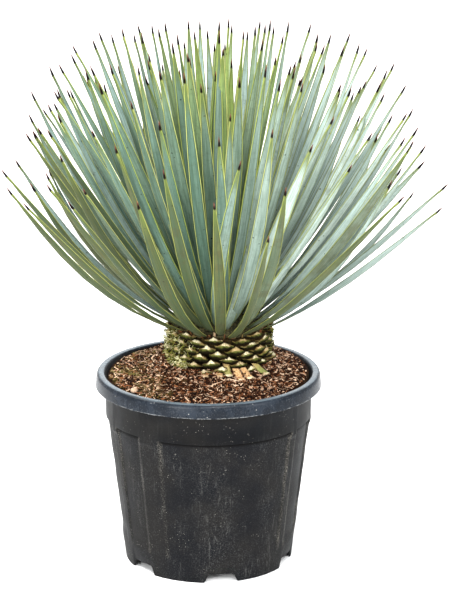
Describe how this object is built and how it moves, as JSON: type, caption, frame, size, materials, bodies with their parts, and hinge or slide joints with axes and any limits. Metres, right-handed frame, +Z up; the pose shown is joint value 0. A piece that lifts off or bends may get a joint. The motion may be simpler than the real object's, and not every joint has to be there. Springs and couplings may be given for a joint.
{
  "type": "potted yucca plant",
  "caption": "Round head of stiff, spine-tipped blue-green blades on a short trunk of cut leaf bases, growing in a filled black nursery pot.",
  "frame": {"origin": "on the floor under the pot's axis, at the middle of the flat centre disc under the pot", "axes": "+Z up along the pot's axis; -Y is the side that the picture shows; +X is to the right in the picture"},
  "size_m": [0.6027, 0.6428, 0.7731],
  "materials": {
    "pot_plastic": "moulded black plastic with dust specks and scuffs",
    "bark_soil": "loose brown bark and fibre potting mix",
    "trunk_leaf_bases": "cut leaf bases, cream on the cut and green-brown below",
    "leaf": "waxy blue-green blade with yellow-green horny margins and a dark spine",
    "stone": "smooth cream pebble"
  },
  "bodies": {
    "root": {"pot": "pot_plastic", "soil": "bark_soil", "trunk": "trunk_leaf_bases", "leaf_rosette": "leaf", "pebble": "stone"}
  },
  "joints": []
}
